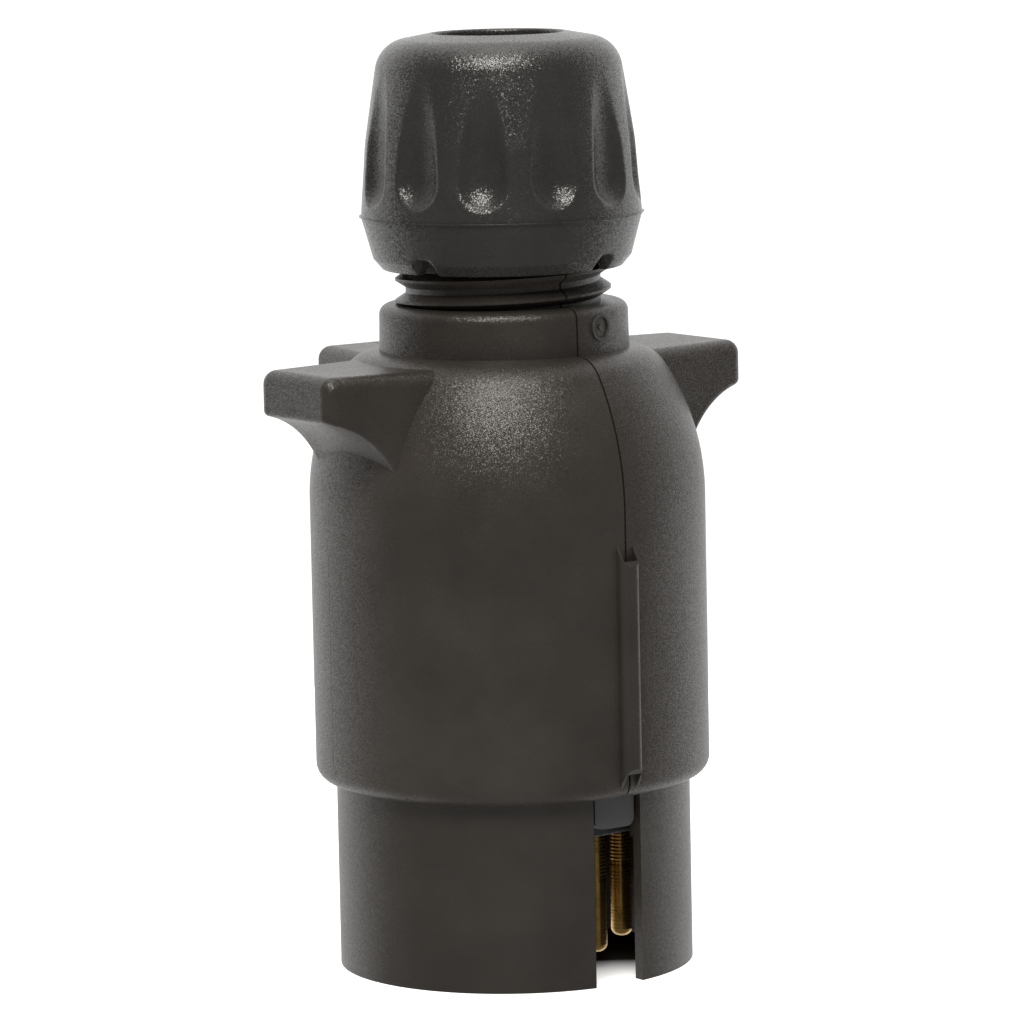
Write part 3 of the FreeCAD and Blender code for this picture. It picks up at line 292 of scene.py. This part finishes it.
def facet_normal(add, where, grain_size, tilt):
    """The surface's own normal, tipped a random way in each tiny grain, so that grains glitter."""
    cells = add("ShaderNodeTexVoronoi")
    add.link(where, cells.inputs["Vector"])
    cells.inputs["Scale"].default_value = 1 / grain_size
    centred = add("ShaderNodeVectorMath", operation="SUBTRACT")
    add.link(cells.outputs["Color"], centred.inputs[0])
    centred.inputs[1].default_value = (0.5, 0.5, 0.5)
    scaled = add("ShaderNodeVectorMath", operation="SCALE")
    add.link(centred.outputs[0], scaled.inputs[0])
    scaled.inputs["Scale"].default_value = tilt
    total = add("ShaderNodeVectorMath", operation="ADD")
    add.link(add("ShaderNodeNewGeometry").outputs["Normal"], total.inputs[0])
    add.link(scaled.outputs[0], total.inputs[1])
    unit = add("ShaderNodeVectorMath", operation="NORMALIZE")
    add.link(total.outputs[0], unit.inputs[0])
    return unit.outputs[0]


RIPPLE_DEPTH = 0.00001


def plastic(name, colour, fleck, roughness, grain_size, tilt, fleck_share, scuffs_with_painted_highlight=(), line=None,
            ior=1.5):
    """Moulded plastic: glittering spark-eroded grain, rare pale flecks, faint mottling, and scuff
    marks that are partly wear and partly a painted highlight.
    Grain size is in metres; tilt is how far a grain's face leans; the scuff marks are (place,
    radius);
    line is a witness line's azimuth, low end and high end."""
    material, tree, add = new_material(name)
    where = add("ShaderNodeTexCoord").outputs["Object"]
    height = noise_value(add, where, 0.5 / grain_size, 2.5, 0.62)
    clouds = noise_value(add, where, 90, 3.0, 0.55)
    flecks = noise_value(add, where, 0.8 / grain_size, 1.0, 0.4)
    fleck_mask = remap(add, flecks, fleck_share, fleck_share + 0.05, 0.0, 1.0)

    darker = tuple(channel * 0.82 for channel in colour)
    lighter = tuple(channel * 1.16 for channel in colour)
    base = blend_colour(add, remap(add, clouds, 0.3, 0.7, 0.0, 1.0), darker, lighter)
    base = blend_colour(add, fleck_mask, base, fleck)
    rough = remap(add, clouds, 0.25, 0.75, roughness - 0.035, roughness + 0.035)
    # Each scuff mark is painted 3.2 times lighter than the plastic. This is partly worn plastic and
    # partly a painted highlight on the corner.
    for centre, radius in scuffs_with_painted_highlight:
        mask = spot_mask(add, where, centre, radius)
        base = blend_colour(add, mask, base, tuple(channel * 3.2 for channel in colour))
        height = arithmetic(add, "SUBTRACT", height, arithmetic(add, "MULTIPLY", mask, 0.8))

    if line:
        mask = witness_line(add, where, *line)
        base = blend_colour(add, mask, base, tuple(channel * 0.35 for channel in colour))
        height = arithmetic(add, "SUBTRACT", height, arithmetic(add, "MULTIPLY", mask, 5.0))

    bump = add("ShaderNodeBump")
    bump.inputs["Strength"].default_value = 1.0
    bump.inputs["Distance"].default_value = RIPPLE_DEPTH
    add.link(height, bump.inputs["Height"])
    add.link(facet_normal(add, where, grain_size, tilt), bump.inputs["Normal"])
    shader = add("ShaderNodeBsdfPrincipled")
    add.link(base, shader.inputs["Base Color"])
    add.link(rough, shader.inputs["Roughness"])
    add.link(bump.outputs[0], shader.inputs["Normal"])
    shader.inputs["IOR"].default_value = ior
    out = add("ShaderNodeOutputMaterial")
    add.link(shader.outputs[0], out.inputs[0])
    return material


def turned_metal(name, colour, dark, roughness, ring_pitch, ring_depth, rings_from):
    """Turned metal: fine rings along Z above one height, tarnish in clouds."""
    material, tree, add = new_material(name)
    where = add("ShaderNodeTexCoord").outputs["Object"]
    split = add("ShaderNodeSeparateXYZ")
    add.link(where, split.inputs[0])
    height = split.outputs["Z"]
    phase = arithmetic(add, "MULTIPLY", height, 2 * math.pi / ring_pitch)
    wave = arithmetic(add, "SINE", phase, 0.0)
    above = remap(add, height, rings_from, rings_from + 0.0002, 0.12, 1.0)
    rings = arithmetic(add, "MULTIPLY", wave, above)
    streaks = noise_value(add, where, 9000, 2.0, 0.6, (0.08, 0.08, 1.0))
    clouds = noise_value(add, where, 450, 3.0, 0.6)
    base = blend_colour(add, remap(add, clouds, 0.35, 0.75, 0.0, 0.85), colour, dark)
    rough = remap(add, clouds, 0.3, 0.7, roughness, roughness + 0.12)
    bump = add("ShaderNodeBump")
    bump.inputs["Strength"].default_value = 1.0
    bump.inputs["Distance"].default_value = ring_depth
    add.link(arithmetic(add, "ADD", rings, streaks), bump.inputs["Height"])
    shader = add("ShaderNodeBsdfPrincipled")
    shader.inputs["Metallic"].default_value = 1.0
    add.link(base, shader.inputs["Base Color"])
    add.link(rough, shader.inputs["Roughness"])
    add.link(bump.outputs[0], shader.inputs["Normal"])
    out = add("ShaderNodeOutputMaterial")
    add.link(shader.outputs[0], out.inputs[0])
    return material


def make_materials():
    """One material for each of the record's material slots."""
    # The left wing's front corner carries a scuff mark with a painted highlight.
    wing_corner = (-0.0268, -0.0052, 0.0695)
    return {
        "body_plastic": plastic("body_plastic", (0.0300, 0.0252, 0.0215), (0.075, 0.066, 0.056),
                                0.34, 0.00009, 0.38, 0.72, [(wing_corner, 0.0022)],
                                (math.radians(-99), 0.0245, 0.052)),
        "nut_plastic": plastic("nut_plastic", (0.0265, 0.0248, 0.0235), (0.08, 0.075, 0.07),
                               0.26, 0.00010, 0.40, 0.72, ior=1.6),
        "skirt_plastic": plastic("skirt_plastic", (0.0270, 0.0230, 0.0195), (0.05, 0.045, 0.040),
                                 0.36, 0.00014, 0.15, 0.74),
        "hinge_plastic": plastic("hinge_plastic", (0.0270, 0.0235, 0.0205), (0.05, 0.046, 0.042),
                                 0.34, 0.00014, 0.15, 0.74),
        "tongue_plastic": plastic("tongue_plastic", (0.042, 0.041, 0.044), (0.09, 0.09, 0.095),
                                  0.45, 0.00014, 0.12, 0.74),
        "insert_plastic": plastic("insert_plastic", (0.020, 0.022, 0.027), (0.04, 0.045, 0.05),
                                  0.45, 0.00014, 0.12, 0.74),
        "seal_rubber": plastic("seal_rubber", (0.012, 0.012, 0.012), (0.03, 0.03, 0.03),
                               0.72, 0.0002, 0.2, 0.74),
        "contact_brass": turned_metal("contact_brass", (0.66, 0.42, 0.13), (0.26, 0.15, 0.04),
                                      0.20, 0.00042, 0.000022, 0.0109),
        "spring_steel": turned_metal("spring_steel", (0.58, 0.57, 0.55), (0.35, 0.34, 0.33),
                                     0.28, 0.0004, 0.000003, 0.0),
        "screw_steel": turned_metal("screw_steel", (0.60, 0.58, 0.52), (0.38, 0.36, 0.30),
                                    0.30, 0.0004, 0.000003, 0.0),
    }


SOFT_EDGES = {"locking_skirt": 0.16, "shell_left": 0.12, "shell_right": 0.12, "lock_tongue": 0.15,
              "film_hinge": 0.10}


def dress_cad_nodes(materials):
    """Give every carried-over node its slot's full material, and the plastic ones broken edges."""
    for part in frame["record"]["subparts"]:
        node = nodes[part["node"]]
        node.data.materials.clear()
        node.data.materials.append(materials[part["material_slot"]])
        if part["node"] in SOFT_EDGES:
            bevel = node.modifiers.new("broken_edges", "BEVEL")
            bevel.width = SOFT_EDGES[part["node"]] * MM
            bevel.segments = 2
            bevel.limit_method = "ANGLE"
            bevel.angle_limit = math.radians(50)
            bevel.harden_normals = True


# ---------------------------------------------------------------- gland nut

NUT_PITCH = 2.5
NUT_THREAD_START = 82.895
NUT_THREAD_TURNS = 3.2
NUT_THREAD_BORE = 12.85
NUT_THREAD_CREST = 11.8
NUT_THREAD_ROOT_HALF = 1.0
NUT_THREAD_CREST_HALF = 0.33
NUT_TURN = math.radians(17.3)
FLUTES = 12
FLUTE_CENTRE = 18.7
FLUTE_RADIUS = 4.2
FLUTE_LOW = 92.3
FLUTE_SOFTNESS = 0.42
NOTCHES = 4
NOTCH_REFERENCE = 83.5
NOTCH_TOP = 82.95
NOTCH_TOP_HALF = 0.65
NOTCH_FOOT_HALF = 1.5
NUT_BOTTOM = 81.4
FLASH_HEIGHT = 87.5
FLASH_RAGGED = 0.10
OUTER_WALL = 13.0
FLUTE_FOOT = 87.9
THREAD_TOP = 94.7
AROUND = 480


def rounded_path(corners, step):
    """Points along a closed outline. Corners are (r, z, rounding); straight runs are split."""
    count = len(corners)
    points = []
    for index, (r, z, rounding) in enumerate(corners):
        here = Vector((r, z))
        before = Vector(corners[index - 1][:2]) - here
        after = Vector(corners[(index + 1) % count][:2]) - here
        if rounding <= 0:
            points.append(here)
            continue
        angle = before.angle(after)
        reach = rounding / math.tan(angle / 2)
        start = here + before.normalized() * reach
        end = here + after.normalized() * reach
        middle = (before.normalized() + after.normalized()).normalized()
        centre = here + middle * (rounding / math.sin(angle / 2))
        first = start - centre
        sweep = first.angle_signed(end - centre)
        parts = max(2, math.ceil(abs(sweep) * rounding / step), math.ceil(abs(sweep) / 0.35))
        for part in range(parts + 1):
            turn = -sweep * part / parts
            spin = Vector((first.x * math.cos(turn) - first.y * math.sin(turn),
                           first.x * math.sin(turn) + first.y * math.cos(turn)))
            points.append(centre + spin)
    filled = []
    for index, point in enumerate(points):
        filled.append(point)
        ahead = points[(index + 1) % len(points)]
        parts = math.ceil((ahead - point).length / step - 1e-6)
        for part in range(1, parts):
            filled.append(point.lerp(ahead, part / parts))
    return filled


def soft_lower(first, second, softness):
    """The lower of two numbers, blended where they are close."""
    share = max(softness - abs(first - second), 0.0) / softness
    return min(first, second) - share * share * softness / 4


def flute_cut(angle, z):
    """Distance of a flute's wall from the axis at an angle from the flute's middle, or None."""
    radius_squared = FLUTE_RADIUS ** 2
    if z < FLUTE_LOW:
        radius_squared -= (FLUTE_LOW - z) ** 2
    side = FLUTE_CENTRE * math.sin(angle)
    if radius_squared <= side * side:
        return None
    return FLUTE_CENTRE * math.cos(angle) - math.sqrt(radius_squared - side * side)


def thread_height(azimuth, z):
    """How far the nut's inner ridge stands in from the bore."""
    along = (z - NUT_THREAD_START) / NUT_PITCH - azimuth / (2 * math.pi)
    turn = round(along)
    away = abs(along - turn) * NUT_PITCH
    run = turn + azimuth / (2 * math.pi)
    fade = min(1.0, max(0.0, run * 6), max(0.0, (NUT_THREAD_TURNS - run) * 6))
    flank = (NUT_THREAD_ROOT_HALF - away) / (NUT_THREAD_ROOT_HALF - NUT_THREAD_CREST_HALF)
    return (NUT_THREAD_BORE - NUT_THREAD_CREST) * min(1.0, max(0.0, flank)) * fade


def notch_lift(azimuth):
    """Height of the nut's rim at an azimuth: it rises inside the notches."""
    step = 2 * math.pi / NOTCHES
    offset = (azimuth + math.pi / 2 - NUT_TURN + step / 2) % step - step / 2
    across = abs(offset) * 13.9
    share = (NOTCH_FOOT_HALF - across) / (NOTCH_FOOT_HALF - NOTCH_TOP_HALF)
    return NUT_BOTTOM + (NOTCH_TOP - NUT_BOTTOM) * min(1.0, max(0.0, share))


def nut_mesh():
    """The whole nut as one closed surface, turned from its outline and carved as it goes round."""
    outline = [(12.95, NUT_BOTTOM, 0.12), (13.9, NUT_BOTTOM, 0.25), (14.95, 82.65, 0.4),
               (16.25, 87.4, 0.0), (16.42, 87.46, 0.0), (16.42, 87.54, 0.0), (16.24, 87.62, 0.0),
               (15.62, 95.9, 20.0), (13.8, 107.35, 4.0), (7.55, 108.5, 0.4),
               (7.55, 104.2, 0.1), (10.4, 104.2, 0.2), (10.4, 96.2, 0.0),
               (NUT_THREAD_BORE, THREAD_TOP, 0.0)]
    profile = rounded_path(outline, 0.2)
    step = 2 * math.pi / FLUTES
    vertices = []
    for index in range(AROUND):
        azimuth = 2 * math.pi * index / AROUND
        flute_angle = (azimuth + math.pi / 2 - NUT_TURN + step / 2) % step - step / 2
        rim = notch_lift(azimuth)
        squeeze = (NOTCH_REFERENCE - rim) / (NOTCH_REFERENCE - NUT_BOTTOM)
        ragged = 0.5 + noise.noise((7 * math.cos(azimuth) * 3, 7 * math.sin(azimuth) * 3, 1.7))
        for point in profile:
            r, z = point
            if abs(z - FLASH_HEIGHT) < 0.06 and r > OUTER_WALL:
                r += FLASH_RAGGED * ragged
            if r > OUTER_WALL and z > FLUTE_FOOT:
                wall = flute_cut(flute_angle, z)
                if wall is not None:
                    r = soft_lower(r, wall, FLUTE_SOFTNESS)
            elif abs(r - NUT_THREAD_BORE) < 0.12 and z < THREAD_TOP:
                r -= thread_height(azimuth, z)
            if z < NOTCH_REFERENCE:
                z = NOTCH_REFERENCE - (NOTCH_REFERENCE - z) * squeeze
            vertices.append((r * math.cos(azimuth) * MM, r * math.sin(azimuth) * MM, z * MM))
    return grid_mesh("gland_nut_moulded", vertices, AROUND, len(profile))


def grid_mesh(name, vertices, around, rows):
    """A closed grid: columns go round the axis, rows go round the outline."""
    faces = []
    for index in range(around):
        here = index * rows
        ahead = (index + 1) % around * rows
        for row in range(rows):
            above = (row + 1) % rows
            faces.append((here + row, ahead + row, ahead + above, here + above))
    mesh = bpy.data.meshes.new(name)
    mesh.from_pydata(vertices, [], faces)
    shell = bmesh.new()
    shell.from_mesh(mesh)
    bmesh.ops.recalc_face_normals(shell, faces=shell.faces)
    shell.to_mesh(mesh)
    shell.free()
    mesh.polygons.foreach_set("use_smooth", [True] * len(mesh.polygons))
    mesh.update()
    return mesh


def add_piece(name, mesh, body, slot, material, *replaced):
    """Put a finished mesh in the scene, riding on its body."""
    piece = bpy.data.objects.new(name, mesh)
    bpy.context.scene.collection.objects.link(piece)
    mesh.materials.append(material)
    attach(piece, body)
    if replaced:
        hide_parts(*replaced)
    return piece


def sharpen(mesh, degrees):
    """Smooth shading except across edges sharper than an angle."""
    limit = math.radians(degrees)
    shell = bmesh.new()
    shell.from_mesh(mesh)
    for edge in shell.edges:
        edge.smooth = len(edge.link_faces) == 2 and edge.calc_face_angle(0.0) < limit
    shell.to_mesh(mesh)
    shell.free()


def make_nut(materials):
    mesh = nut_mesh()
    sharpen(mesh, 38)
    return add_piece("gland_nut_moulded", mesh, "nut", "nut_plastic", materials["nut_plastic"],
                     "gland_nut")


def make_spring(materials):
    """The tongue's spring, copied from its node with the spring steel material; the node itself is
    hidden.
    """
    node = nodes["tongue_spring"]
    mesh = node.data.copy()
    mesh.transform(node.matrix_world)
    mesh.materials.clear()
    mesh.materials.append(materials["spring_steel"])
    coil = bpy.data.objects.new("tongue_spring_coil", mesh)
    bpy.context.scene.collection.objects.link(coil)
    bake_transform(coil)
    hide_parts("tongue_spring")


# ---------------------------------------------------------------- the scene


def main():
    bpy.context.scene.view_settings.view_transform = "Standard"
    bpy.context.scene.view_settings.look = "None"
    make_camera()
    make_world()
    make_floor()
    area_light("overhead", (0, 0, OVERHEAD_HEIGHT), (0, 0, 0), OVERHEAD_SIZE, OVERHEAD_SIZE,
               OVERHEAD_POWER)
    area_light("softbox", round_the_plug(SOFTBOX_AZIMUTH, SOFTBOX_DISTANCE, SOFTBOX_HEIGHT),
               SOFTBOX_TARGET, SOFTBOX_WIDTH, SOFTBOX_DEPTH, SOFTBOX_POWER)
    materials = make_materials()
    dress_cad_nodes(materials)
    make_nut(materials)
    make_spring(materials)


main()
